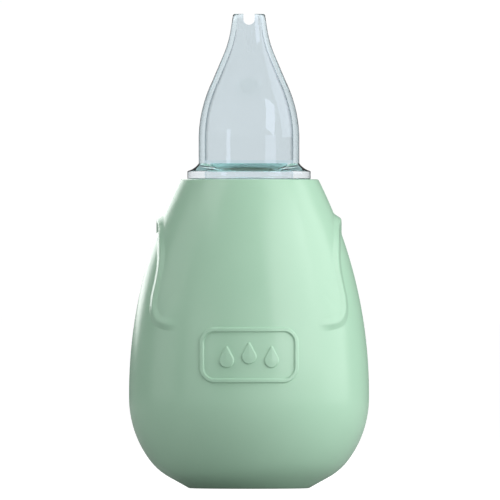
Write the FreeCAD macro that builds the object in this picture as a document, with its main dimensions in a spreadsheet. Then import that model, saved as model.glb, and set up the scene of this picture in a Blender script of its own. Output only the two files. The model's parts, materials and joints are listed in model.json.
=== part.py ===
"""Bulb nasal aspirator: a hollow squeeze bulb and a clear nozzle that plugs into its neck.

Row frame: millimetres, +Z up, origin at the centre of the flat base. -Y is the front, where the
moulded emblem is. The bulb is squeezed between the two finger rests at -X and +X.
"""

import FreeCAD, Part
import math
import os

import Sketcher

# Driving dimensions: alias, value in millimetres, note.
DIMENSIONS = [
    ("bulb_radius", 29.1, "largest radius of the bulb"),
    ("bulb_waist", 23.0, "height of that largest radius"),
    ("bulb_height", 74.9, "height of the flat top, where the flange rests"),
    ("top_radius", 16.8, "radius of the flat top"),
    ("base_radius", 14.5, "radius of the flat base"),
    ("belly_top", 22.0, "height where the wall starts to turn in below the waist"),
    ("belly_arc", 25.5, "radius of the arc below that height"),
    ("belly_end", 7.0, "height where the tighter arc to the foot starts"),
    ("foot_radius", 19.55, "radius where that arc ends and a straight cone runs to the base"),
    ("foot_height", 2.8, "height of that point"),
    ("wall", 2.0, "thickness of the bulb's wall"),
    ("floor_radius", 13.8, "radius of the flat inside of the base"),
    ("inner_foot_radius", 18.63, "inside radius where the cone from the base ends"),
    ("inner_foot_height", 4.55, "height of that point"),
    ("inner_belly_end", 8.12, "height where the inside's tighter arc starts"),
    ("neck_bore", 12.65, "radius of the hole that takes the plug"),
    ("neck_depth", 13.4, "length of that hole"),
    ("neck_slope", 3.6, "fall of the neck's underside to the wall"),
    ("rest_half_width", 9.5, "half width of a finger rest's moving wall"),
    ("rest_bottom", 35.0, "lowest point of the moving wall"),
    ("rest_top", 57.5, "highest point of the moving wall"),
    ("rest_corner", 9.2, "corner radius of the moving wall"),
    ("rest_gap", 0.25, "gap round the moving wall"),
    ("lip_width", 1.5, "width of the lip round a finger rest"),
    ("lip_height", 0.7, "height of that lip above the bulb"),
    ("lip_top", 66.0, "highest point of the lip"),
    ("ledge_width", 3.8, "width of the lip where it forms a ledge at its top"),
    ("lip_shoulder", 51.0, "height where the lip's arch starts"),
    ("lip_half_width", 12.7, "half width of the arch"),
    ("lip_bottom", 39.8, "lowest point of the lip's outer edge"),
    ("lip_foot", 18.0, "half width where the lip ends, turned towards the front"),
    ("relief_root", 0.8, "depth that the lips and the emblem are sunk into the wall"),
    ("relief_margin", 3.0, "height that a relief's band has to spare at both ends"),
    ("emblem_width", 23.6, "width of the emblem's frame"),
    ("emblem_height", 13.2, "height of the emblem's frame"),
    ("emblem_middle", 32.4, "height of the emblem's centre"),
    ("emblem_corner", 3.6, "corner radius of the emblem's frame"),
    ("emblem_rim", 0.9, "width of the frame's raised rim"),
    ("emblem_raise", 0.45, "height of the emblem above the bulb"),
    ("drop_radius", 1.7, "radius of a droplet's round end"),
    ("drop_length", 5.2, "length of a droplet"),
    ("drop_pitch", 5.4, "distance between droplets"),
    ("drop_step", 0.9, "how much higher the middle droplet sits"),
    ("nozzle_top", 115.0, "height of the nozzle's tip"),
    ("nozzle_radius", 12.2, "outer radius of the nozzle's straight part"),
    ("nozzle_bore", 10.75, "inner radius of that part"),
    ("straight_end", 84.5, "height where the nozzle starts to taper"),
    ("ogive_end_radius", 8.97, "outer radius where the ogive ends"),
    ("ogive_end", 98.6, "height of that point"),
    ("waist_radius", 6.2, "outer radius where the taper turns to the tip"),
    ("waist_start", 105.1, "height of that point"),
    ("tip_base_radius", 4.47, "outer radius where the tip starts"),
    ("tip_base", 111.0, "height of that point"),
    ("tip_bend", 26.0, "radius of the hollow between the taper and the tip"),
    ("tip_radius", 3.92, "outer radius of the tip"),
    ("tip_bore", 2.95, "inner radius of the tip"),
    ("tip_round", 0.5, "rounding of the tip's outer rim"),
    ("cone_wall", 1.4, "wall of the nozzle's taper, measured across"),
    ("notch_width", 2.7, "width of the slot across the tip"),
    ("notch_depth", 2.65, "depth of that slot"),
    ("notch_clear", 1.0, "height that the slot's cutter reaches above the tip"),
    ("flange_radius", 14.95, "radius of the flange"),
    ("flange_thickness", 2.05, "thickness of the flange"),
    ("flare_radius", 14.8, "outer radius of the flare where it meets the flange"),
    ("flare_height", 1.8, "height of the flare"),
    ("flare_arc", 4.8, "radius of the flare's hollow side"),
    ("plug_length", 12.0, "length of the plug below the flange"),
    ("plug_lead", 0.7, "chamfer at the plug's end"),
    ("rib_height", 0.35, "height of a sealing rib on the plug"),
    ("rib_half", 0.6, "half height of that rib"),
    ("rib_low", 65.9, "height of the lower rib"),
    ("rib_high", 70.6, "height of the upper rib"),
]
EMBLEM_DROPS = (-1, 0, 1)
REACH = 40.0  # half length of a cutting prism, past the bulb on every side


class Size:
    """A number together with the sheet expression that gives it."""

    def __init__(self, value, text):
        self.value, self.text = value, text

    def __add__(self, other):
        other = as_size(other)
        return Size(self.value + other.value, f"({self.text} + {other.text})")

    def __sub__(self, other):
        other = as_size(other)
        return Size(self.value - other.value, f"({self.text} - {other.text})")

    def __mul__(self, factor):
        return Size(self.value * factor, f"({self.text} * {factor})")

    def __neg__(self):
        return self * -1


def as_size(value):
    return value if isinstance(value, Size) else Size(float(value), str(float(value)))


def make_sheet(doc):
    """Fills the spreadsheet and returns a function that gives a dimension by its alias."""
    sheet = doc.addObject("Spreadsheet::Sheet", "Dimensions")
    values = {}
    for row, (alias, value, note) in enumerate(DIMENSIONS, start=1):
        sheet.set(f"A{row}", alias)
        sheet.set(f"B{row}", str(value))
        sheet.setAlias(f"B{row}", alias)
        sheet.set(f"C{row}", note)
        values[alias] = value
    doc.recompute()
    return lambda alias: Size(values[alias], f"Dimensions.{alias}")


class Outline:
    """A closed chain of lines and arcs in a sketch on one of its body's origin planes."""

    def __init__(self, body, name, plane):
        self.sketch = body.newObject("Sketcher::SketchObject", name)
        support = next(f for f in body.Origin.OriginFeatures if f.Role == plane)
        self.sketch.AttachmentSupport = (support, "")
        self.sketch.MapMode = "FlatFace"
        self.first = None
        self.last = None
        self.here = None

    def start(self, x, y):
        """Begins a new closed chain at a corner that the sheet fixes."""
        self.first = None
        self.last = None
        self.here = (as_size(x), as_size(y))
        self.corner = self.here

    def line(self, x, y):
        a, b = self.here, (as_size(x), as_size(y))
        part = Part.LineSegment(self._vector(a), self._vector(b))
        return self._add(part, b, 1, 2)

    def arc(self, x, y, radius, left):
        """An arc to a corner that turns left or right, with the radius that the sheet gives."""
        a, b = self.here, (as_size(x), as_size(y))
        radius = as_size(radius)
        start, end = self._vector(a), self._vector(b)
        chord = end - start
        across = FreeCAD.Vector(-chord.y, chord.x, 0).normalize() * (1 if left else -1)
        rise = math.sqrt(radius.value**2 - (chord.Length / 2) ** 2)
        centre = (start + end) / 2 + across * rise
        angles = [math.atan2(p.y - centre.y, p.x - centre.x) for p in (start, end)]
        circle = Part.Circle(centre, FreeCAD.Vector(0, 0, 1), radius.value)
        if left:
            part, ends = Part.ArcOfCircle(circle, angles[0], angles[1]), (1, 2)
        else:
            part, ends = Part.ArcOfCircle(circle, angles[1], angles[0]), (2, 1)
        index = self._add(part, b, *ends)
        self._bind(Sketcher.Constraint("Radius", index, radius.value), radius)
        return index

    def close(self):
        """Joins the chain's last corner to its first."""
        self.sketch.addConstraint(Sketcher.Constraint("Coincident", *self.last, *self.first))
        self._fix(self.first, self.corner)

    def rectangle(self, low_x, low_y, high_x, high_y, radius):
        """A rectangle with rounded corners, counterclockwise."""
        self.start(low_x + radius, low_y)
        self.line(high_x - radius, low_y)
        self.arc(high_x, low_y + radius, radius, True)
        self.line(high_x, high_y - radius)
        self.arc(high_x - radius, high_y, radius, True)
        self.line(low_x + radius, high_y)
        self.arc(low_x, high_y - radius, radius, True)
        self.line(low_x, low_y + radius)
        self.arc(low_x + radius, low_y, radius, True)
        self.close()

    @staticmethod
    def _vector(corner):
        return FreeCAD.Vector(corner[0].value, corner[1].value, 0)

    def _add(self, part, corner, start_end, far_end):
        index = self.sketch.addGeometry(part)
        if self.last is None:
            self.first = (index, start_end)
        else:
            join = Sketcher.Constraint("Coincident", *self.last, index, start_end)
            self.sketch.addConstraint(join)
        self.last = (index, far_end)
        self.here = corner
        if corner is not self.corner and not self._same(corner, self.corner):
            self._fix(self.last, corner)
        return index

    @staticmethod
    def _same(a, b):
        return all(abs(p.value - q.value) < 1e-9 for p, q in zip(a, b))

    def _fix(self, point, corner):
        for kind, axis, size in zip(("DistanceX", "DistanceY"), (-2, -1), corner):
            if abs(size.value) < 1e-9:
                self.sketch.addConstraint(Sketcher.Constraint("PointOnObject", *point, axis))
            else:
                self._bind(Sketcher.Constraint(kind, -1, 1, *point, size.value), size)

    def _bind(self, constraint, size):
        index = self.sketch.addConstraint(constraint)
        self.sketch.setExpression(f"Constraints[{index}]", size.text)


def new_body(doc, name):
    body = doc.addObject("PartDesign::Body", name)
    body.Label = name
    return body


def revolve(body, outline):
    turned = body.newObject("PartDesign::Revolution", f"{body.Name}_turned")
    turned.Profile = outline.sketch
    turned.ReferenceAxis = (outline.sketch, ["V_Axis"])
    turned.Angle = 360.0
    outline.sketch.Visibility = False
    return turned


def extrude(body, outline, both_ways=False, backwards=False):
    """Pads an outline by REACH, to one side of its plane or to both."""
    prism = body.newObject("PartDesign::Pad", f"{body.Name}_pad")
    prism.Profile = outline.sketch
    prism.Length = REACH * (2 if both_ways else 1)
    prism.Midplane = both_ways
    prism.Reversed = backwards
    return prism


def side_arc(d, offset):
    """Radius of the bulb's long side arc, offset outwards: it is upright at the waist."""
    rise = d("bulb_height").value - d("bulb_waist").value
    inset = d("bulb_radius").value - d("top_radius").value
    rise_text = f"({d('bulb_height').text} - {d('bulb_waist').text})"
    inset_text = f"({d('bulb_radius').text} - {d('top_radius').text})"
    value = (rise**2 + inset**2) / (2 * inset)
    arc = Size(value, f"(({rise_text}^2 + {inset_text}^2) / (2 * {inset_text}))")
    return arc + offset


def side_radius(d, height, offset):
    """Radius of the bulb, offset outwards, at a height above the waist."""
    arc = side_arc(d, offset)
    centre = d("bulb_radius") - side_arc(d, as_size(0))
    rise = height - d("bulb_waist")
    value = centre.value + math.sqrt(arc.value**2 - rise.value**2)
    return Size(value, f"({centre.text} + sqrt({arc.text}^2 - {rise.text}^2))")


def belly_radius(d, height, offset):
    """Radius of the bulb, offset outwards, at a height on the belly's arc."""
    arc = d("belly_arc") + offset
    centre = d("bulb_radius") - d("belly_arc")
    fall = d("belly_top") - height
    value = centre.value + math.sqrt(arc.value**2 - fall.value**2)
    return Size(value, f"({centre.text} + sqrt({arc.text}^2 - {fall.text}^2))")


def foot_arc(d, low, high):
    """Radius of the arc that leaves the belly arc without a kink at high and ends at low."""
    centre = (d("bulb_radius") - d("belly_arc"), d("belly_top"))
    along = ((high[0] - centre[0]).value, (high[1] - centre[1]).value)
    span = ((high[0] - low[0]).value, (high[1] - low[1]).value)
    unit = [a / math.hypot(*along) for a in along]
    value = (span[0] ** 2 + span[1] ** 2) / (2 * (span[0] * unit[0] + span[1] * unit[1]))
    ax, ay = (high[0] - centre[0]).text, (high[1] - centre[1]).text
    sx, sy = (high[0] - low[0]).text, (high[1] - low[1]).text
    dot = f"(({sx} * {ax} + {sy} * {ay}) / sqrt({ax}^2 + {ay}^2))"
    return Size(value, f"(({sx}^2 + {sy}^2) / (2 * {dot}))")


def bulb_wall(doc, d):
    """The bulb's wall as one turned piece, with the thick neck that grips the plug."""
    body = new_body(doc, "bulb_wall")
    out = Outline(body, "bulb_profile", "XZ_Plane")
    wall, nothing = d("wall"), as_size(0)
    neck_end = d("bulb_height") - d("neck_depth")
    shoulder = neck_end - d("neck_slope")
    foot = (d("foot_radius"), d("foot_height"))
    belly = (belly_radius(d, d("belly_end"), nothing), d("belly_end"))
    inner_foot = (d("inner_foot_radius"), d("inner_foot_height"))
    inner_belly = (belly_radius(d, d("inner_belly_end"), -wall), d("inner_belly_end"))
    out.start(nothing, nothing)
    out.line(d("base_radius"), nothing)
    out.line(*foot)
    out.arc(*belly, foot_arc(d, foot, belly), True)
    out.arc(d("bulb_radius"), d("belly_top"), d("belly_arc"), True)
    out.line(d("bulb_radius"), d("bulb_waist"))
    out.arc(d("top_radius"), d("bulb_height"), side_arc(d, nothing), True)
    out.line(d("neck_bore"), d("bulb_height"))
    out.line(d("neck_bore"), neck_end)
    out.line(side_radius(d, shoulder, -wall), shoulder)
    out.arc(d("bulb_radius") - wall, d("bulb_waist"), side_arc(d, -wall), False)
    out.line(d("bulb_radius") - wall, d("belly_top"))
    out.arc(*inner_belly, d("belly_arc") - wall, False)
    out.arc(*inner_foot, foot_arc(d, inner_foot, inner_belly), False)
    out.line(d("floor_radius"), wall)
    out.line(nothing, wall)
    out.line(nothing, nothing)
    out.close()
    revolve(body, out)
    return body


def rest_prism(doc, d, name, gap, both_ways=False, backwards=False):
    """A prism along X through the finger rests, wider by gap all round."""
    body = new_body(doc, name)
    out = Outline(body, f"{name}_outline", "YZ_Plane")
    half = d("rest_half_width") + gap
    low, high = d("rest_bottom") - gap, d("rest_top") + gap
    out.rectangle(-half, low, half, high, d("rest_corner") + gap)
    extrude(body, out, both_ways, backwards)
    return body


def relief_envelope(doc, d, name, height, low, high):
    """A turned band that follows the bulb's side and stands out from it by height."""
    body = new_body(doc, name)
    out = Outline(body, f"{name}_profile", "XZ_Plane")
    sunk = -d("relief_root")
    out.start(side_radius(d, low, sunk), low)
    out.line(side_radius(d, low, height), low)
    out.arc(side_radius(d, high, height), high, side_arc(d, height), True)
    out.line(side_radius(d, high, sunk), high)
    out.arc(side_radius(d, low, sunk), low, side_arc(d, sunk), False)
    out.close()
    revolve(body, out)
    return body


def arch_arc(half, rise):
    """Radius of the arc that springs from half a width and peaks at rise."""
    value = (half.value**2 + rise.value**2) / (2 * rise.value)
    return Size(value, f"(({half.text}^2 + {rise.text}^2) / (2 * {rise.text}))")


def lip_prism(doc, d):
    """A prism along X whose outline is the bell-shaped lip round both finger rests."""
    body = new_body(doc, "lip_prism")
    out = Outline(body, "lip_outline", "YZ_Plane")
    thick = d("lip_width")
    half, top, shoulder = d("lip_half_width"), d("lip_top"), d("lip_shoulder")
    foot, bottom = d("lip_foot"), d("lip_bottom")
    inner, inner_top = half - thick, top - d("ledge_width")
    turn = foot - half
    arch = arch_arc(half, top - shoulder)
    inner_arch = arch_arc(inner, inner_top - shoulder)
    peak = as_size(0)
    out.start(half, bottom + turn)
    out.line(half, shoulder)
    out.arc(peak, top, arch, True)
    out.arc(-half, shoulder, arch, True)
    out.line(-half, bottom + turn)
    out.arc(-foot, bottom, turn, False)
    out.line(-foot, bottom - thick)
    out.arc(-inner, bottom + turn, turn + thick, True)
    out.line(-inner, shoulder)
    out.arc(peak, inner_top, inner_arch, False)
    out.arc(inner, shoulder, inner_arch, False)
    out.line(inner, bottom + turn)
    out.arc(foot, bottom - thick, turn + thick, True)
    out.line(foot, bottom)
    out.arc(half, bottom + turn, turn, False)
    out.close()
    extrude(body, out, both_ways=True)
    return body


def emblem_prism(doc, d):
    """A prism towards the front: a plain rounded frame."""
    body = new_body(doc, "emblem_prism")
    out = Outline(body, "emblem_outline", "XZ_Plane")
    half_x, half_z = d("emblem_width") * 0.5, d("emblem_height") * 0.5
    middle, rim, corner = d("emblem_middle"), d("emblem_rim"), d("emblem_corner")
    out.rectangle(-half_x, middle - half_z, half_x, middle + half_z, corner)
    out.rectangle(
        rim - half_x, middle - half_z + rim, half_x - rim, middle + half_z - rim, corner - rim
    )
    extrude(body, out)
    return body


def drop_prism(doc, d, place):
    """A prism towards the front with one droplet's outline; place is -1, 0 or 1."""
    body = new_body(doc, f"drop_prism_{place + 2}")
    out = Outline(body, f"drop_outline_{place + 2}", "XZ_Plane")
    radius, length = d("drop_radius"), d("drop_length")
    x = d("drop_pitch") * place
    low = d("emblem_middle") - length * 0.5 + d("drop_step") * (1 - abs(place))
    # The straight sides leave the round end without a kink.
    reach = length.value - radius.value
    up = radius.value / reach
    side = math.sqrt(1 - up**2)
    out.start(x + radius * side, low + radius * (1 + up))
    out.line(x, low + length)
    out.line(x - radius * side, low + radius * (1 + up))
    out.arc(x, low, radius, True)
    out.arc(x + radius * side, low + radius * (1 + up), radius, True)
    out.close()
    extrude(body, out)
    return body


def boolean(doc, kind, name, *shapes):
    """A boolean of two objects, or a fusion of several."""
    made = doc.addObject(f"Part::{kind}", name)
    made.Label = name
    if kind == "MultiFuse":
        made.Shapes = list(shapes)
    else:
        made.Base, made.Tool = shapes
    return made


def bulb(doc, d):
    """The bulb's fixed shell and the two stretches of its wall that a squeeze moves."""
    wall = bulb_wall(doc, d)
    window = rest_prism(doc, d, "window_prism", d("rest_gap"), both_ways=True)
    opened = boolean(doc, "Cut", "wall_with_windows", wall, window)

    margin = d("relief_margin")
    low, high = d("lip_bottom") - margin, d("lip_top") + margin
    lip_band = relief_envelope(doc, d, "lip_band", d("lip_height"), low, high)
    lips = boolean(doc, "Common", "finger_lips", lip_band, lip_prism(doc, d))

    half = d("emblem_height") * 0.5 + margin
    low, high = d("emblem_middle") - half, d("emblem_middle") + half
    emblem_band = relief_envelope(doc, d, "emblem_band", d("emblem_raise"), low, high)
    figures = [emblem_prism(doc, d)]
    figures += [drop_prism(doc, d, place) for place in EMBLEM_DROPS]
    figure = boolean(doc, "MultiFuse", "emblem_figure", *figures)
    emblem = boolean(doc, "Common", "emblem", emblem_band, figure)
    shell = boolean(doc, "MultiFuse", "bulb_shell", opened, lips, emblem)

    rests = []
    for side, backwards in (("left", True), ("right", False)):
        prism = rest_prism(doc, d, f"{side}_prism", as_size(0), backwards=backwards)
        rests.append(boolean(doc, "Common", f"{side}_finger_rest", wall, prism))
    return [shell, *rests]


def add_rib(out, d, height):
    """A rounded sealing rib on the plug's outside."""
    radius, half, rise = d("nozzle_radius"), d("rib_half"), d("rib_height")
    arc = (half.value**2 + rise.value**2) / (2 * rise.value)
    bend = Size(arc, f"(({half.text}^2 + {rise.text}^2) / (2 * {rise.text}))")
    out.line(radius, height - half)
    out.arc(radius + rise, height, bend, True)
    out.arc(radius, height + half, bend, True)


def taper_arc(d):
    """Radius of the ogive, which is upright where the nozzle's straight part ends."""
    rise = d("ogive_end") - d("straight_end")
    inset = d("nozzle_radius") - d("ogive_end_radius")
    value = (rise.value**2 + inset.value**2) / (2 * inset.value)
    return Size(value, f"(({rise.text}^2 + {inset.text}^2) / (2 * {inset.text}))")


def nozzle(doc, d):
    """The clear nozzle: notched tip, tapered body, flange and ribbed plug in one piece."""
    body = new_body(doc, "nozzle")
    out = Outline(body, "nozzle_profile", "XZ_Plane")
    seat = d("bulb_height")
    flange_top = seat + d("flange_thickness")
    plug_end = seat - d("plug_length")
    lead, radius, bore = d("plug_lead"), d("nozzle_radius"), d("nozzle_bore")
    across, top = d("cone_wall"), d("nozzle_top")
    shrink = radius - bore
    out.start(bore, plug_end)
    out.line(radius - lead * 0.5, plug_end)
    out.line(radius, plug_end + lead)
    add_rib(out, d, d("rib_low"))
    add_rib(out, d, d("rib_high"))
    out.line(radius, seat)
    out.line(d("flange_radius"), seat)
    out.line(d("flange_radius"), flange_top)
    out.line(d("flare_radius"), flange_top)
    out.arc(radius, flange_top + d("flare_height"), d("flare_arc"), False)
    out.line(radius, d("straight_end"))
    out.arc(d("ogive_end_radius"), d("ogive_end"), taper_arc(d), True)
    out.line(d("waist_radius"), d("waist_start"))
    out.arc(d("tip_base_radius"), d("tip_base"), d("tip_bend"), False)
    out.line(d("tip_radius"), top - d("tip_round"))
    out.arc(d("tip_radius") - d("tip_round"), top, d("tip_round"), True)
    out.line(d("tip_bore"), top)
    out.line(d("tip_base_radius") - across, d("tip_base"))
    out.arc(d("waist_radius") - across, d("waist_start"), d("tip_bend"), True)
    out.line(d("ogive_end_radius") - across, d("ogive_end"))
    out.arc(bore, d("straight_end"), taper_arc(d), False)
    out.line(bore, plug_end)
    out.close()
    revolve(body, out)

    slot = Outline(body, "notch_outline", "XZ_Plane")
    half = d("notch_width") * 0.5
    bottom = top - d("notch_depth")
    slot.start(half, bottom + half)
    slot.line(half, top + d("notch_clear"))
    slot.line(-half, top + d("notch_clear"))
    slot.line(-half, bottom + half)
    slot.arc(as_size(0), bottom, half, True)
    slot.arc(half, bottom + half, half, True)
    slot.close()
    doc.recompute()
    notch = body.newObject("PartDesign::Pocket", "tip_notch")
    notch.Profile = slot.sketch
    notch.Midplane = True
    notch.Length = 2 * REACH
    return body


def check(doc, parts):
    """Stops if any object failed to compute, or a part isn't one valid solid."""
    failed = [o.Label for o in doc.Objects if {"Invalid", "Error"} & set(o.State)]
    if failed:
        raise RuntimeError(f"these objects failed: {failed}")
    for part in parts:
        shape = part.Shape
        if shape.isNull() or not shape.isValid() or len(shape.Solids) != 1:
            raise RuntimeError(f"{part.Label} isn't one valid solid")
        print(f"{part.Label}: {shape.Volume / 1000:.2f} cm3, box {shape.BoundBox}")


def main():
    doc = FreeCAD.newDocument("nasal_aspirator")
    d = make_sheet(doc)
    parts = [*bulb(doc, d), nozzle(doc, d)]
    doc.recompute()
    check(doc, parts)
    os.makedirs("parts", exist_ok=True)
    for part in parts:
        part.Shape.exportStep(f"parts/{part.Label}.step")


main()
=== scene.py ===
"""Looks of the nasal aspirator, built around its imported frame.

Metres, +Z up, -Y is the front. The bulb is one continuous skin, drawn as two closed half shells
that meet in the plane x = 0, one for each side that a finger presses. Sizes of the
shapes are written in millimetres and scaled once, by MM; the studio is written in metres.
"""

import json
import math

import bmesh
import bpy
import numpy as np
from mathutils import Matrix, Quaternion, Vector

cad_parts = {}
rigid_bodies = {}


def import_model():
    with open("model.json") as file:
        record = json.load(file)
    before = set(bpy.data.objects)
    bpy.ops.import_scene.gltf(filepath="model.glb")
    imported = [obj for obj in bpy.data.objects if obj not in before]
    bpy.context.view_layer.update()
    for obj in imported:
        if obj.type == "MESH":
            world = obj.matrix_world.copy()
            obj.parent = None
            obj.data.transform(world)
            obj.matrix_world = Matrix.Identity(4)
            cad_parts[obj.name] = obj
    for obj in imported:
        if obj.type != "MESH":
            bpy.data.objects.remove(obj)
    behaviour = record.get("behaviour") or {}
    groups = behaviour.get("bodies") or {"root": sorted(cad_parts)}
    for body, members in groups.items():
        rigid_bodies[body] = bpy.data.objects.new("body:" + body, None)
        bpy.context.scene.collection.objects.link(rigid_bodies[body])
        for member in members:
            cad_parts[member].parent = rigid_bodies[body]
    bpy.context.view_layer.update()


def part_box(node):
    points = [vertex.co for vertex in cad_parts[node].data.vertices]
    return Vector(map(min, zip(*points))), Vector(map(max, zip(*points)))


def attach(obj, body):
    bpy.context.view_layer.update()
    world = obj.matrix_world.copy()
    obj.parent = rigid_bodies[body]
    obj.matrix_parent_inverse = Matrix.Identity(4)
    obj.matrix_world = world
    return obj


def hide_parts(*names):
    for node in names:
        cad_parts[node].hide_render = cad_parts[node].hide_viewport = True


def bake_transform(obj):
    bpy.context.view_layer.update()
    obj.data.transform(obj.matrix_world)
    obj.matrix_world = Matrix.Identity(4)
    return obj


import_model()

MM = 0.001

# ---------------------------------------------------------------- sizes, in millimetres
BULB_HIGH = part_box("bulb_shell")[1]
NOZZLE_LOW, NOZZLE_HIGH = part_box("nozzle")
BULB_R = BULB_HIGH.x / MM
BULB_TOP = BULB_HIGH.z / MM
TIP_TOP = NOZZLE_HIGH.z / MM
PLUG_END = NOZZLE_LOW.z / MM

WAIST = 23.0
TOP_R = 16.8
BASE_R = 14.5
BELLY_TOP = 22.0
BELLY_ARC = 25.5
BELLY_END = 7.0
FOOT_R, FOOT_Z = 19.55, 2.8
WALL = 2.0
NECK_R = 12.65
NECK_DEPTH = 13.4
NECK_SLOPE = 3.6
FLOOR_R = 13.8
INNER_FOOT = (18.63, 4.55)
INNER_BELLY_END = 8.12
TOP_ROUND = 0.5
BORE_ROUND = 0.4

# The crest of the lip round a finger rest: arc length from the middle of the side, and height.
LIP_ROUTE = (
    (0.0, 65.25), (3.7, 64.4), (6.9, 62.2), (9.9, 59.4), (12.5, 56.2), (13.9, 53.0),
    (14.5, 49.6), (14.8, 46.2), (15.8, 43.3), (18.1, 41.0), (21.6, 39.9), (26.4, 39.6),
)
# The lip's height and the reach of its inner flank: on the sides, at the ear on top, at the foot.
LIP_HEIGHT, EAR_HEIGHT = 0.66, 1.28
LIP_INNER, EAR_INNER, FOOT_INNER = 2.1, 3.7, 1.5
# The outer flank falls steeply over LIP_OUTER, down to a share that fades over SHELF_REACH.
LIP_OUTER = 1.6
LIP_SHELF, FOOT_SHELF, SHELF_REACH = 0.3, 0.55, 8.0
# Lengths along the lip: of the ear, of the foot, and of the fade at the lip's end.
EAR_END = 7.0
FOOT_RUN = 11.0
LIP_FADE = 6.0
FLANK_EASED, FLANK_STRAIGHT = 0.2, 0.8
LIP_STEPS = 6

# The emblem: a rounded frame with three droplets, the outer two DROP_STEP below the middle one.
EMBLEM_Z = 32.4
EMBLEM_HALF = (11.8, 6.6)
EMBLEM_CORNER = 3.6
EMBLEM_RIM = 0.9
EMBLEM_RAISE = 0.45
EMBLEM_EDGE = 0.16
DROP_R, DROP_TIP_R, DROP_RISE = 1.7, 0.28, 3.1
DROP_PITCH, DROP_STEP = 5.4, 0.9
DROP_RIM, DROP_DOME = 0.8, 0.2

# Spacing of the bulb's mesh, as (start, end, step): finest where the relief is.
OUTSIDE_ROWS = (
    (0.19, 3.2, 0.6), (3.2, 25.2, 0.85), (25.2, 39.6, 0.12), (39.6, 69.0, 0.28), (69.0, 74.6, 0.7),
)
LOW_INSIDE_ROWS = (24.0, INNER_FOOT[1], 1.3)
HIGH_INSIDE_STEP = 1.6
COLUMNS = ((-90, -63, 0.24), (-63, -20, 0.45), (-20, 20, 0.9), (20, 52, 0.45), (52, 90, 1.2))
UNDERSIDE = ((0.0, 0.0), (5.0, 0.0), (10.0, 0.0), (13.6, 0.0), (14.2, 0.0), (14.55, 0.05))
INNER_FLOOR_RADII = (FLOOR_R, 9.0, 4.0, 0.0)
RIM_INNER_R = 15.0


# ---------------------------------------------------------------- helpers
def smooth(t):
    """Smooth step from 0 at t = 0 to 1 at t = 1."""
    t = np.clip(t, 0.0, 1.0)
    return t * t * (3 - 2 * t)


def crisp(t):
    """A ramp that is nearly straight, which leaves a faint edge at both ends."""
    return FLANK_EASED * smooth(t) + FLANK_STRAIGHT * np.clip(t, 0.0, 1.0)


def link(obj):
    """Put an object in the scene, and return it."""
    bpy.context.scene.collection.objects.link(obj)
    return obj


def mesh_object(name, points, faces):
    """A mesh object from points in millimetres."""
    mesh = bpy.data.meshes.new(name)
    mesh.from_pydata((np.asarray(points) * MM).tolist(), [], faces)
    mesh.validate()
    mesh.shade_smooth()
    return link(bpy.data.objects.new(name, mesh))


def arc(centre, radius, start, end, count):
    """Points on an arc from one angle to another, in degrees."""
    angles = np.radians(np.linspace(start, end, count))
    return [(centre[0] + radius * math.cos(a), centre[1] + radius * math.sin(a)) for a in angles]


def tangent_circle(centre, joint, far):
    """Centre and radius of the circle that leaves a circle at joint without a kink, through far."""
    out = np.subtract(joint, centre)
    out = out / np.linalg.norm(out)
    span = np.subtract(joint, far)
    radius = span @ span / (2 * span @ out)
    return np.subtract(joint, out * radius), radius


# ---------------------------------------------------------------- the bulb's shape
RISE = BULB_TOP - WAIST
SIDE_ARC = (RISE**2 + (BULB_R - TOP_R) ** 2) / (2 * (BULB_R - TOP_R))
SIDE_X = BULB_R - SIDE_ARC
BELLY_X = BULB_R - BELLY_ARC


def belly_point(height, offset=0.0):
    """The point (radius, height) on the belly's arc, or on the arc at an offset from it."""
    across = math.sqrt((BELLY_ARC + offset) ** 2 - (BELLY_TOP - height) ** 2)
    return (BELLY_X + across, height)


def bulb_radius(heights, offset=0.0):
    """Radius of the bulb's outside, without relief, or of its inside with an offset of -WALL."""
    z = np.asarray(heights, float)
    end = BELLY_END if offset == 0 else INNER_BELLY_END
    foot = (FOOT_R, FOOT_Z) if offset == 0 else INNER_FOOT
    base = (BASE_R, 0.0) if offset == 0 else (FLOOR_R, WALL)
    turn, radius = tangent_circle((BELLY_X, BELLY_TOP), belly_point(end, offset), foot)
    side = SIDE_X + np.sqrt((SIDE_ARC + offset) ** 2 - (z - WAIST) ** 2)
    fall = np.maximum(BELLY_TOP - z, 0)
    belly = BELLY_X + np.sqrt(np.clip((BELLY_ARC + offset) ** 2 - fall**2, 0, None))
    bend = turn[0] + np.sqrt(np.clip(radius**2 - (turn[1] - z) ** 2, 0, None))
    cone = base[0] + (foot[0] - base[0]) * (z - base[1]) / (foot[1] - base[1])
    return np.select([z >= WAIST, z >= end, z >= foot[1]], [side, belly, bend], cone)


def spline(points, steps):
    """Catmull-Rom points through a route that is mirrored at its start."""
    first = np.array([-points[1][0], points[1][1]])
    p = np.vstack([first, points, 2 * np.array(points[-1]) - points[-2]])
    made = []
    for a, b, c, d in zip(p[:-3], p[1:-2], p[2:-1], p[3:]):
        for t in np.linspace(0, 1, steps, endpoint=False):
            made.append(
                0.5 * (2 * b + (c - a) * t + (2 * a - 5 * b + 4 * c - d) * t**2
                       + (3 * b - a - 3 * c + d) * t**3)
            )
    return np.array(made + [p[-2]])


LIP_LINE = spline(LIP_ROUTE, LIP_STEPS)


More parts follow.
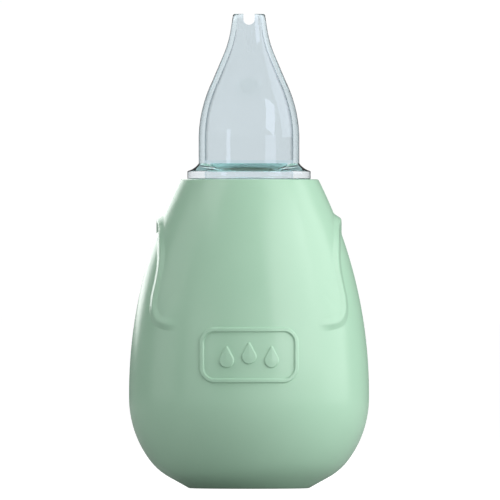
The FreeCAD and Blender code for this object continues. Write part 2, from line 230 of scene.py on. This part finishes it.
def lip_relief(along, height):
    """Height of the finger rest's lip over the plain bulb."""
    starts, ends = LIP_LINE[:-1], LIP_LINE[1:]
    spans = ends - starts
    lengths = np.linalg.norm(spans, axis=1)
    before = np.concatenate([[0], np.cumsum(lengths)[:-1]])
    total = lengths.sum()
    best = np.full(along.shape, np.inf)
    side = np.zeros(along.shape)
    travel = np.zeros(along.shape)
    for start, span, length, gone in zip(starts, spans, lengths, before):
        da, dz = along - start[0], height - start[1]
        t = np.clip((da * span[0] + dz * span[1]) / length**2, 0, 1)
        away = np.hypot(da - t * span[0], dz - t * span[1])
        closer = away < best
        best = np.where(closer, away, best)
        side = np.where(closer, span[0] * dz - span[1] * da, side)
        travel = np.where(closer, gone + t * length, travel)
    ear = 1 - smooth(travel / EAR_END)
    foot = smooth((travel - total + FOOT_RUN) / (FOOT_RUN - LIP_FADE))
    crest = LIP_HEIGHT + (EAR_HEIGHT - LIP_HEIGHT) * ear
    crest = crest * smooth((total - travel) / LIP_FADE)
    reach = LIP_INNER + (EAR_INNER - LIP_INNER) * ear + (FOOT_INNER - LIP_INNER) * foot
    inner = 1 - crisp(best / reach)
    outer = 1 - smooth(best / LIP_OUTER)
    shelf = LIP_SHELF * (1 - ear) + (FOOT_SHELF - LIP_SHELF) * foot
    outer = (1 - shelf) * outer + shelf * (1 - smooth(best / SHELF_REACH))
    return crest * np.where(side > 0, outer, inner)


def frame_distance(x, z):
    """Signed distance to the emblem's outer edge, a rounded rectangle; negative inside."""
    qx = np.abs(x) - EMBLEM_HALF[0] + EMBLEM_CORNER
    qz = np.abs(z - EMBLEM_Z) - EMBLEM_HALF[1] + EMBLEM_CORNER
    outside = np.hypot(np.maximum(qx, 0), np.maximum(qz, 0))
    return outside + np.minimum(np.maximum(qx, qz), 0) - EMBLEM_CORNER


def drop_distance(x, z):
    """Signed distance to a droplet whose round end is at the origin; negative inside."""
    x = np.abs(x)
    lean = (DROP_R - DROP_TIP_R) / DROP_RISE
    upright = math.sqrt(1 - lean**2)
    k = z * upright - x * lean
    flank = x * upright + z * lean - DROP_R
    tip = np.hypot(x, z - DROP_RISE) - DROP_TIP_R
    return np.where(k < 0, np.hypot(x, z) - DROP_R, np.where(k > upright * DROP_RISE, tip, flank))


def emblem_relief(x, z):
    """Height of the emblem over the plain bulb: a plain rounded frame and three droplets."""
    rim = np.abs(frame_distance(x, z) + EMBLEM_RIM / 2) - EMBLEM_RIM / 2
    raised = 1 - smooth(rim / EMBLEM_EDGE + 0.5)
    drop_z = EMBLEM_Z - (DROP_RISE + DROP_TIP_R - DROP_R) / 2
    for place in (0, 1):
        step = DROP_STEP * (0.5 - place)
        away = drop_distance(np.abs(x) - DROP_PITCH * place, z - drop_z - step)
        dome = DROP_RIM + DROP_DOME * smooth(-away / DROP_R)
        raised = np.maximum(raised, dome * (1 - smooth(away / EMBLEM_EDGE + 0.5)))
    return EMBLEM_RAISE * raised


def stations(*stretches):
    """Values along stretches of (start, end, spacing), each end being the next start."""
    made = [stretches[0][0]]
    for start, end, spacing in stretches:
        count = max(1, round(abs(end - start) / spacing))
        made.extend(np.linspace(start, end, count + 1)[1:])
    return np.array(made)


def bulb_path():
    """The wall's outline from the middle of the base, up the outside, down the inside.

    Returns the points (radius, height) and which of them lie on the embossed outside.
    """
    outside = stations(*OUTSIDE_ROWS)
    round_z = BULB_TOP - TOP_ROUND
    round_r = SIDE_X + math.sqrt((SIDE_ARC - TOP_ROUND) ** 2 - (round_z - WAIST) ** 2)
    lean = math.degrees(math.atan2(round_z - WAIST, round_r - SIDE_X))
    bore_mid = (NECK_R + BORE_ROUND, BULB_TOP - BORE_ROUND)
    neck_end = BULB_TOP - NECK_DEPTH
    shoulder = neck_end - NECK_SLOPE
    low_mid = (NECK_R + BORE_ROUND, neck_end + BORE_ROUND)

    under = list(UNDERSIDE)
    side = list(zip(bulb_radius(outside), outside))
    rim = arc((round_r, round_z), TOP_ROUND, lean, 90, 6)
    rim += [(RIM_INNER_R, BULB_TOP)] + arc(bore_mid, BORE_ROUND, 90, 180, 5)
    bore = [(NECK_R, z) for z in np.linspace(bore_mid[1], low_mid[1], 8)[1:-1]]
    bore += arc(low_mid, BORE_ROUND, 180, 250, 4)
    inside = stations((shoulder, LOW_INSIDE_ROWS[0], HIGH_INSIDE_STEP), LOW_INSIDE_ROWS)
    inner = list(zip(bulb_radius(inside, -WALL), inside))
    floor = [(r, WALL) for r in INNER_FLOOR_RADII]
    path = under + side + rim + bore + inner + floor
    embossed = np.zeros(len(path), bool)
    embossed[len(under):len(under) + len(side)] = True
    return np.array(path), embossed


def bulb_half(name, sign):
    """One closed half of the bulb, on the side that sign gives.

    The outline's first and last points lie on the axis, and each is a single vertex. In the mesh,
    bottom is the one outside and top the one inside.
    """
    path, embossed = bulb_path()
    turn = np.radians(stations(*COLUMNS))[None, :]
    radius = path[:, 0][:, None]
    z = path[:, 1][:, None] + 0 * turn
    relief = lip_relief(np.abs(radius * turn), z)
    emblem = np.where(turn < 0, emblem_relief(radius * np.cos(turn), z), 0)
    relief = np.maximum(relief, emblem)
    full = radius + relief * embossed[:, None]
    x, y = full * np.cos(turn) * sign, full * np.sin(turn)
    x[:, 0] = x[:, -1] = 0.0

    grid = np.stack([x, y, z], axis=-1)[1:-1]
    rows, columns = grid.shape[:2]
    points = np.vstack([grid.reshape(-1, 3), [0, 0, path[0, 1]], [0, 0, path[-1, 1]]])
    bottom, top = len(points) - 2, len(points) - 1
    index = np.arange(rows * columns).reshape(rows, columns)
    quads = np.stack([index[:-1, :-1], index[:-1, 1:], index[1:, 1:], index[1:, :-1]], axis=-1)
    faces = [tuple(q) for q in quads.reshape(-1, 4).tolist()]
    faces += [(bottom, b, a) for a, b in zip(index[0, :-1].tolist(), index[0, 1:].tolist())]
    faces += [(top, a, b) for a, b in zip(index[-1, :-1].tolist(), index[-1, 1:].tolist())]
    faces.append((bottom, *index[:, 0].tolist(), top, *index[::-1, -1].tolist()))
    if sign < 0:
        faces = [face[::-1] for face in faces]
    half = mesh_object(name, points, faces)

    bm = bmesh.new()
    bm.from_mesh(half.data)
    section = max(bm.faces, key=lambda face: len(face.verts))
    for edge in section.edges:
        edge.smooth = False
    bmesh.ops.triangulate(bm, faces=[section])
    bmesh.ops.recalc_face_normals(bm, faces=bm.faces)
    bm.to_mesh(half.data)
    bm.free()
    return half


# ---------------------------------------------------------------- the nozzle's shape
def lathe(name, path, count):
    """A closed outline (radius, height) in millimetres turned about the Z axis."""
    path = np.array(path)
    angles = np.linspace(0, 2 * math.pi, count, endpoint=False)
    x = path[:, 0][:, None] * np.cos(angles)
    y = path[:, 0][:, None] * np.sin(angles)
    z = path[:, 1][:, None] + 0 * angles
    index = np.arange(x.size).reshape(x.shape)
    wide, tall = np.roll(index, -1, axis=1), np.roll(index, -1, axis=0)
    far = np.roll(tall, -1, axis=1)
    quads = np.stack([index, wide, far, tall], axis=-1).reshape(-1, 4)
    return mesh_object(name, np.stack([x, y, z], axis=-1).reshape(-1, 3), quads.tolist())


def curve_points(start, end, radius, left, count):
    """Points after start on the arc to end that turns left or right, with the given radius."""
    a, b = np.array(start), np.array(end)
    chord = b - a
    across = np.array([-chord[1], chord[0]]) / np.linalg.norm(chord) * (1 if left else -1)
    centre = (a + b) / 2 + across * math.sqrt(radius**2 - chord @ chord / 4)
    first = math.atan2(*(a - centre)[::-1])
    last = math.atan2(*(b - centre)[::-1])
    sweep = (last - first) % (2 * math.pi)
    if not left:
        sweep -= 2 * math.pi
    turns = first + np.linspace(0, sweep, count + 1)[1:]
    return [(centre[0] + radius * math.cos(t), centre[1] + radius * math.sin(t)) for t in turns]


NOZZLE_R = 12.2
NOZZLE_BORE = 10.75
STRAIGHT_END = 84.5
OGIVE = (8.97, 98.6)
TAPER_END = (6.2, 105.1)
TIP_BASE = (4.47, 111.0)
TIP_BEND = 26.0
TIP_R = 3.92
TIP_BORE = 2.95
TIP_ROUND = 0.45
MOUTH_ROUND = 0.25
CONE_WALL = 1.4
FLANGE_R = NOZZLE_HIGH.x / MM
FLANGE_TOP = 76.95
FLANGE_ROUND = 0.22
SEAT_GAP = 0.03
FLARE_R = 14.8
FLARE_TOP = 78.75
FLARE_ARC = 4.8
RIBS = (65.9, 70.6)
RIB_RISE, RIB_HALF = 0.35, 0.6
PLUG_LEAD = 0.7
PLUG_EDGE = 0.15
NOTCH_WIDTH, NOTCH_DEPTH = 2.7, 2.65
CUTTER_PAST_TOP, CUTTER_PAST_SIDE = 1, 3
NOZZLE_COLUMNS = 224
CREASE = math.radians(32)
MERGE_METRES = 2e-6


def nozzle_path():
    """The nozzle's outline, up the outside from the plug's end and down the bore."""
    seat = BULB_TOP + SEAT_GAP
    rise, inset = OGIVE[1] - STRAIGHT_END, NOZZLE_R - OGIVE[0]
    ogive = (rise**2 + inset**2) / (2 * inset)
    rib = (RIB_HALF**2 + RIB_RISE**2) / (2 * RIB_RISE)
    path = [(NOZZLE_BORE + PLUG_EDGE, PLUG_END), (NOZZLE_R - PLUG_LEAD * 0.5, PLUG_END)]
    path.append((NOZZLE_R, PLUG_END + PLUG_LEAD))
    for height in RIBS:
        path.append((NOZZLE_R, height - RIB_HALF))
        path += curve_points(path[-1], (NOZZLE_R + RIB_RISE, height), rib, True, 4)
        path += curve_points(path[-1], (NOZZLE_R, height + RIB_HALF), rib, True, 4)
    path += [(NOZZLE_R, seat - PLUG_EDGE), (NOZZLE_R + PLUG_EDGE, seat)]
    path += arc((FLANGE_R - FLANGE_ROUND, seat + FLANGE_ROUND), FLANGE_ROUND, -90, 0, 4)
    path += arc((FLANGE_R - FLANGE_ROUND, FLANGE_TOP - FLANGE_ROUND), FLANGE_ROUND, 0, 47, 3)
    path.append((FLARE_R, FLANGE_TOP))
    path += curve_points(path[-1], (NOZZLE_R, FLARE_TOP), FLARE_ARC, False, 10)
    path += [(NOZZLE_R, z) for z in np.linspace(FLARE_TOP, STRAIGHT_END, 6)[1:]]
    path += curve_points(path[-1], OGIVE, ogive, True, 18)
    path += [tuple(p) for p in np.linspace(OGIVE, TAPER_END, 7)[1:]]
    path += curve_points(path[-1], TIP_BASE, TIP_BEND, False, 8)
    path += [tuple(p) for p in np.linspace(TIP_BASE, (TIP_R, TIP_TOP - TIP_ROUND), 8)[1:-1]]
    path += arc((TIP_R - TIP_ROUND, TIP_TOP - TIP_ROUND), TIP_ROUND, 8, 90, 6)
    path += arc((TIP_BORE + MOUTH_ROUND, TIP_TOP - MOUTH_ROUND), MOUTH_ROUND, 90, 180, 5)
    path += curve_points(path[-1], (TAPER_END[0] - CONE_WALL, TAPER_END[1]), TIP_BEND, True, 16)
    path += [tuple(p) for p in np.linspace(path[-1], (OGIVE[0] - CONE_WALL, OGIVE[1]), 7)[1:]]
    path += curve_points(path[-1], (NOZZLE_BORE, STRAIGHT_END), ogive, False, 18)
    path += [(NOZZLE_BORE, z) for z in np.linspace(STRAIGHT_END, PLUG_END + PLUG_EDGE, 14)[1:]]
    return path


def make_nozzle():
    """The clear nozzle, with its slot cut across the tip."""
    nozzle = lathe("clear_nozzle", nozzle_path(), NOZZLE_COLUMNS)
    half = NOTCH_WIDTH / 2
    bottom = TIP_TOP - NOTCH_DEPTH
    top = TIP_TOP + CUTTER_PAST_TOP
    section = [(half, top), (-half, top)]
    section += arc((0, bottom + half), half, 180, 360, 21)
    reach = TIP_R + CUTTER_PAST_SIDE
    points = [(x, y, z) for y in (-reach, reach) for x, z in section]
    count = len(section)
    faces = [tuple(range(count)), tuple(range(2 * count - 1, count - 1, -1))]
    faces += [(i, i + count, (i + 1) % count + count, (i + 1) % count) for i in range(count)]
    cutter = mesh_object("slot_cutter", points, faces)
    cut = nozzle.modifiers.new("slot", "BOOLEAN")
    cut.object, cut.operation, cut.solver = cutter, "DIFFERENCE", "EXACT"
    bpy.context.view_layer.update()
    evaluated = nozzle.evaluated_get(bpy.context.evaluated_depsgraph_get())
    shaped = bpy.data.meshes.new_from_object(evaluated)
    nozzle.modifiers.clear()
    nozzle.data = shaped
    bpy.data.objects.remove(cutter)

    bm = bmesh.new()
    bm.from_mesh(shaped)
    bmesh.ops.remove_doubles(bm, verts=bm.verts, dist=MERGE_METRES)
    bmesh.ops.dissolve_degenerate(bm, edges=bm.edges, dist=MERGE_METRES)
    bmesh.ops.recalc_face_normals(bm, faces=bm.faces)
    for face in bm.faces:
        face.smooth = True
    for edge in bm.edges:
        edge.smooth = edge.calc_face_angle(0) < CREASE
    bm.to_mesh(shaped)
    bm.free()
    return nozzle


# ---------------------------------------------------------------- materials
MINT_DARK = (0.462, 0.735, 0.545, 1)
MINT_LIGHT = (0.485, 0.757, 0.566, 1)
# Light crosses the outside and the bore twice each. The outside is the bluer one, so that the wall
# between the two looks blue too.
OUTER_TINT = (0.7, 0.8, 0.84, 1)
BORE_TINT = (0.858, 0.853, 0.86, 1)
NECK_TINT = (0.775, 0.826, 0.85, 1)
# Painted shade: the seat's dark tint stands for the shadow line where the flange sits on the bulb.
SEAT_PAINTED_SHADE = (0.22, 0.3, 0.28, 1)
# The regions of the nozzle's surface, each with its own variant of the clear plastic. The seat's
# is painted shade: a dark tint for the shadow line where the flange sits on the bulb. The flange's
# start at FLANGE_INSET outside the straight part, and the neck's at NECK_INSET below the bulb's top.
OUTSIDE, BORE, FLARE, SEAT, NECK, RIM, MOUTH = range(7)
FLANGE_INSET, NECK_INSET = 0.2, 1


class Nodes:
    """The emptied node tree of a material or a world."""

    def __init__(self, owner):
        owner.use_nodes = True
        self.tree = owner.node_tree
        self.tree.nodes.clear()
        is_world = isinstance(owner, bpy.types.World)
        self.output = self.add("ShaderNodeOutputWorld" if is_world else "ShaderNodeOutputMaterial")

    def add(self, kind, **inputs):
        node = self.tree.nodes.new(kind)
        for name, value in inputs.items():
            node.inputs[name.replace("_", " ")].default_value = value
        return node

    def join(self, source, target):
        self.tree.links.new(source, target)


def bulb_material():
    """Satin soft plastic: mint green, faintly uneven in tone, with a fine moulded grain."""
    material = bpy.data.materials.new("satin_mint")
    nodes = Nodes(material)
    shader = nodes.add("ShaderNodeBsdfPrincipled")
    shader.inputs["IOR"].default_value = 1.45
    where = nodes.add("ShaderNodeTexCoord")

    tone = nodes.add("ShaderNodeTexNoise", Scale=38.0, Detail=3.0, Roughness=0.55)
    nodes.join(where.outputs["Object"], tone.inputs["Vector"])
    ramp = nodes.add("ShaderNodeValToRGB")
    ramp.color_ramp.elements[0].position = 0.3
    ramp.color_ramp.elements[0].color = MINT_DARK
    ramp.color_ramp.elements[1].position = 0.7
    ramp.color_ramp.elements[1].color = MINT_LIGHT
    nodes.join(tone.outputs["Fac"], ramp.inputs["Fac"])
    nodes.join(ramp.outputs["Color"], shader.inputs["Base Color"])

    gloss = nodes.add("ShaderNodeTexNoise", Scale=120.0, Detail=2.0)
    nodes.join(where.outputs["Object"], gloss.inputs["Vector"])
    spread = nodes.add("ShaderNodeMapRange")
    spread.inputs["To Min"].default_value = 0.2
    spread.inputs["To Max"].default_value = 0.28
    nodes.join(gloss.outputs["Fac"], spread.inputs["Value"])
    nodes.join(spread.outputs["Result"], shader.inputs["Roughness"])

    grain = nodes.add("ShaderNodeTexNoise", Scale=2600.0, Detail=2.0)
    nodes.join(where.outputs["Object"], grain.inputs["Vector"])
    bump = nodes.add("ShaderNodeBump", Strength=0.12, Distance=0.00004)
    nodes.join(grain.outputs["Fac"], bump.inputs["Height"])
    nodes.join(bump.outputs["Normal"], shader.inputs["Normal"])
    nodes.join(shader.outputs["BSDF"], nodes.output.inputs["Surface"])
    return material


def nozzle_material(name, tint, painted_edge_tint, edge_from, edge_to):
    """Clear, faintly blue plastic that lets lamps through, with a second tint seen edge on.

    The change of tint runs from edge_from to edge_to, where 0 is face on and 1 is edge on. The edge
    tint is painted shade, dark lines along the edges; on the flare it is a lighter painted edge.
    """
    material = bpy.data.materials.new(name)
    nodes = Nodes(material)
    shader = nodes.add("ShaderNodeBsdfPrincipled")
    shader.inputs["Transmission Weight"].default_value = 1.0
    shader.inputs["IOR"].default_value = 1.5
    where = nodes.add("ShaderNodeTexCoord")

    # Painted shade: the tint seen edge on darkens the edges into lines, and on the flare lightens
    # them.
    facing = nodes.add("ShaderNodeLayerWeight", Blend=0.5)
    edge = nodes.add("ShaderNodeMapRange")
    edge.inputs["From Min"].default_value = edge_from
    edge.inputs["From Max"].default_value = edge_to
    nodes.join(facing.outputs["Facing"], edge.inputs["Value"])
    colour = nodes.add("ShaderNodeMix")
    colour.data_type = "RGBA"
    colour.inputs["A"].default_value = tint
    colour.inputs["B"].default_value = painted_edge_tint
    nodes.join(edge.outputs["Result"], colour.inputs["Factor"])
    nodes.join(colour.outputs["Result"], shader.inputs["Base Color"])

    haze = nodes.add("ShaderNodeTexNoise", Scale=90.0, Detail=3.0)
    nodes.join(where.outputs["Object"], haze.inputs["Vector"])
    spread = nodes.add("ShaderNodeMapRange")
    spread.inputs["To Min"].default_value = 0.0
    spread.inputs["To Max"].default_value = 0.03
    nodes.join(haze.outputs["Fac"], spread.inputs["Value"])
    nodes.join(spread.outputs["Result"], shader.inputs["Roughness"])

    flow = nodes.add("ShaderNodeTexNoise", Scale=160.0, Detail=1.0)
    nodes.join(where.outputs["Object"], flow.inputs["Vector"])
    bump = nodes.add("ShaderNodeBump", Strength=0.15, Distance=0.0001)
    nodes.join(flow.outputs["Fac"], bump.inputs["Height"])
    nodes.join(bump.outputs["Normal"], shader.inputs["Normal"])

    path = nodes.add("ShaderNodeLightPath")
    shade = nodes.add("ShaderNodeBsdfTransparent", Color=tint)
    mix = nodes.add("ShaderNodeMixShader")
    nodes.join(path.outputs["Is Shadow Ray"], mix.inputs["Fac"])
    nodes.join(shader.outputs["BSDF"], mix.inputs[1])
    nodes.join(shade.outputs["BSDF"], mix.inputs[2])
    nodes.join(mix.outputs["Shader"], nodes.output.inputs["Surface"])
    return material


def nozzle_region(place, normal):
    """The region that a face of the nozzle is in, from its centre in millimetres and its normal.

    The seat, only the flange's rounded lower edge, is painted shade; its flat underside counts as
    outside.
    """
    if normal.x * place.x + normal.y * place.y < 0:
        if place.z > TIP_BASE[1]:
            return MOUTH
        return NECK if BULB_TOP - NECK_INSET < place.z < FLARE_TOP else BORE
    if math.hypot(place.x, place.y) < NOZZLE_R + FLANGE_INSET or place.z > FLARE_TOP:
        return OUTSIDE
    if place.z > FLANGE_TOP - 0.5 * FLANGE_ROUND:
        return FLARE
    if place.z > BULB_TOP + SEAT_GAP + FLANGE_ROUND:
        return RIM
    return SEAT if place.z > BULB_TOP + 1.5 * SEAT_GAP else OUTSIDE


# ---------------------------------------------------------------- the object
# In the order of the regions: name, tint, tint seen edge on (painted dark edge lines; on the flare a
# painted lighter edge), and where that tint starts and ends.
CLEAR_VARIANTS = (
    ("clear_blue_plastic", OUTER_TINT, (0.22, 0.32, 0.34, 1), 0.6, 1.0),
    ("clear_blue_bore", BORE_TINT, (0.01, 0.03, 0.04, 1), 0.59, 0.79),
    ("clear_blue_flare", (0.68, 0.76, 0.83, 1), (0.92, 1.0, 1.0, 1), 0.3, 0.6),
    ("clear_blue_seat_painted_shade", SEAT_PAINTED_SHADE, SEAT_PAINTED_SHADE, 0.6, 1.0),
    ("clear_blue_neck", NECK_TINT, (0.3, 0.48, 0.55, 1), 0.66, 0.84),
    ("clear_blue_rim", (0.81, 0.86, 0.89, 1), (0.6, 0.68, 0.72, 1), 0.6, 1.0),
    ("clear_blue_mouth", BORE_TINT, (0.3, 0.45, 0.5, 1), 0.6, 1.0),
)

mint = bulb_material()
for side, sign in (("left", -1), ("right", 1)):
    half = bulb_half(f"bulb_{side}_half", sign)
    half.data.materials.append(mint)
    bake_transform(half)
    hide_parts("bulb_shell", f"{side}_finger_rest")

nozzle = make_nozzle()
nozzle.data.materials.clear()
for variant in CLEAR_VARIANTS:
    nozzle.data.materials.append(nozzle_material(*variant))
for face in nozzle.data.polygons:
    face.material_index = nozzle_region(face.center / MM, face.normal)
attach(nozzle, "nozzle")
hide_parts("nozzle")


# ---------------------------------------------------------------- the studio
LIGHT_DISTANCE = 0.9
LIGHT_AIM = Vector((0, 0, 0.055))
# Name, azimuth, elevation, width, height, watts and, for a box turned about its aim, roll.
BULB_LIGHTS = (
    ("key_light", 50, 22, 0.8, 0.7, 5.1),
    ("side_light", 92, 14, 0.6, 0.8, 3.4),
    ("right_top_light", 60, 60, 0.5, 0.5, 1.1),
    ("front_light", 14, 3, 0.8, 0.5, 0.8),
    ("left_front_light", -48, 3, 0.5, 0.5, 0.8),
    ("left_light", -90, 14, 0.5, 0.7, 1.05),
    ("left_top_light", -70, 52, 0.5, 0.5, 1.7),
    ("rim_light", -157, 21, 0.5, 0.62, 2.6),
)
# Weaker boxes draw the highlights on the clear nozzle, which the others would burn out.
NOZZLE_LIGHTS = (
    ("glint_key", 54, 20, 0.36, 0.4, 1.65, -20),
    ("glint_low", 51, -2, 0.43, 0.25, 0.7),
    ("glint_side", 100, 22, 0.6, 0.6, 1.6),
    ("glint_strip", -48, 1.5, 0.16, 0.28, 0.42),
)
# These two fill the flare with the teal that it gathers from its surroundings.
FLARE_LIGHTS = (
    ("flare_top", 0, 88, 1.2, 1.2, 3.5),
    ("flare_back", 180, 36, 1.3, 0.55, 2.6),
)
WHITE, PALE_BLUE, TEAL = (1.0, 1.0, 1.0), (0.72, 0.8, 1.0), (0.6, 0.92, 0.94)
# The spot lamp in the nozzle: its height, and how far its cone stays inside the flange's edge.
NECK_LAMP_Z, NECK_LAMP_INSET = 84.0, 0.4
NECK_LAMP_POWER, NECK_LAMP_COLOUR = 0.028, (0.9, 0.78, 1.0)
NECK_LAMP_RADIUS, NECK_LAMP_BLEND = 0.002, 0.05
# Strength of the backdrop and the floor: as the camera sees them, and as lights on the object.
WORLD_SEEN, WORLD_DIM = 1.02, 0.08
FLOOR_SEEN, FLOOR_DIM = 0.985, 0.06
FLOOR_GREY = 0.35
STAGE_RADIUS = 12.0
LENS, SENSOR = 1500, 36
FRAME_WIDTH = 0.12125
CAMERA_X, CAMERA_Z = 0.00024, 0.05777


def area_light(colour, name, azimuth, elevation, width, height, power, roll=0):
    """A soft box that faces the object. Azimuth is from the front, positive to the right."""
    data = bpy.data.lights.new(name, "AREA")
    data.shape = "RECTANGLE"
    data.size, data.size_y = width, height
    data.energy, data.color = power, colour
    light = link(bpy.data.objects.new(name, data))
    a, e = math.radians(azimuth), math.radians(elevation)
    away = Vector((math.sin(a) * math.cos(e), -math.cos(a) * math.cos(e), math.sin(e)))
    light.location = LIGHT_AIM + away * LIGHT_DISTANCE
    light.rotation_mode = "QUATERNION"
    tilt = Quaternion((0, 0, 1), math.radians(roll))
    light.rotation_quaternion = away.to_track_quat("Z", "Y") @ tilt
    light.visible_camera = False
    light.visible_transmission = False
    return light


def make_lights():
    """Soft boxes for the bulb and the floor, for the nozzle's highlights and for its flare.

    A small spot lamp, which moves with the nozzle, stands for the light that the flare gathers on
    the bulb's top.
    """
    nozzle_only = bpy.data.collections.new("nozzle_only")
    all_else = bpy.data.collections.new("all_else")
    for obj in bpy.context.scene.objects:
        if obj.type == "MESH":
            (nozzle_only if obj is nozzle else all_else).objects.link(obj)
    rigs = (
        (BULB_LIGHTS, WHITE, all_else),
        (NOZZLE_LIGHTS, PALE_BLUE, nozzle_only),
        (FLARE_LIGHTS, TEAL, nozzle_only),
    )
    for rig, colour, receivers in rigs:
        for values in rig:
            area_light(colour, *values).light_linking.receiver_collection = receivers
    data = bpy.data.lights.new("neck_lamp", "SPOT")
    data.energy, data.color = NECK_LAMP_POWER, NECK_LAMP_COLOUR
    data.shadow_soft_size = NECK_LAMP_RADIUS
    data.spot_size = 2 * math.atan2(FLANGE_R - NECK_LAMP_INSET, NECK_LAMP_Z - BULB_TOP)
    data.spot_blend = NECK_LAMP_BLEND
    lamp = link(bpy.data.objects.new("neck_lamp", data))
    lamp.parent = nozzle
    lamp.location = (0, 0, NECK_LAMP_Z * MM)
    lamp.visible_camera = False
    lamp.visible_transmission = False
    lamp.light_linking.receiver_collection = all_else


def add_strength(nodes, dim, seen):
    """A socket with the strength seen by the camera, straight or through glass, or else dim."""
    path = nodes.add("ShaderNodeLightPath")
    looked_at = nodes.add("ShaderNodeMath")
    looked_at.operation = "MAXIMUM"
    nodes.join(path.outputs["Is Camera Ray"], looked_at.inputs[0])
    nodes.join(path.outputs["Is Transmission Ray"], looked_at.inputs[1])
    strength = nodes.add("ShaderNodeMapRange")
    strength.inputs["To Min"].default_value = dim
    strength.inputs["To Max"].default_value = seen
    nodes.join(looked_at.outputs["Value"], strength.inputs["Value"])
    return strength.outputs["Result"]


def make_world():
    """A white backdrop that the camera sees, which adds little light of its own."""
    world = bpy.data.worlds.new("studio")
    nodes = Nodes(world)
    background = nodes.add("ShaderNodeBackground", Color=(1, 1, 1, 1))
    nodes.join(add_strength(nodes, WORLD_DIM, WORLD_SEEN), background.inputs["Strength"])
    nodes.join(background.outputs["Background"], nodes.output.inputs["Surface"])
    bpy.context.scene.world = world


def make_floor():
    """A pale floor that the camera sees white, and that throws little light back up."""
    bm = bmesh.new()
    bmesh.ops.create_circle(bm, cap_ends=True, radius=STAGE_RADIUS, segments=96)
    mesh = bpy.data.meshes.new("floor")
    bm.to_mesh(mesh)
    bm.free()
    floor = link(bpy.data.objects.new("floor", mesh))
    material = bpy.data.materials.new("white_floor")
    nodes = Nodes(material)
    paper = nodes.add("ShaderNodeBsdfDiffuse", Color=(FLOOR_GREY, FLOOR_GREY, FLOOR_GREY, 1))
    glow = nodes.add("ShaderNodeEmission", Color=(1, 1, 1, 1))
    nodes.join(add_strength(nodes, FLOOR_DIM, FLOOR_SEEN), glow.inputs["Strength"])
    both = nodes.add("ShaderNodeAddShader")
    nodes.join(paper.outputs["BSDF"], both.inputs[0])
    nodes.join(glow.outputs["Emission"], both.inputs[1])
    nodes.join(both.outputs["Shader"], nodes.output.inputs["Surface"])
    mesh.materials.append(material)


def make_camera():
    """A long lens at the height of the object's middle, looking level at its front."""
    data = bpy.data.cameras.new("camera")
    data.lens = LENS
    data.sensor_width = SENSOR
    data.clip_start, data.clip_end = 0.05, 50
    camera = link(bpy.data.objects.new("camera", data))
    distance = FRAME_WIDTH * LENS / SENSOR
    camera.location = (CAMERA_X, -distance, CAMERA_Z)
    camera.rotation_euler = (math.pi / 2, 0, 0)
    bpy.context.scene.camera = camera


make_world()
make_floor()
make_lights()
make_camera()
bpy.context.scene.view_settings.view_transform = "Standard"
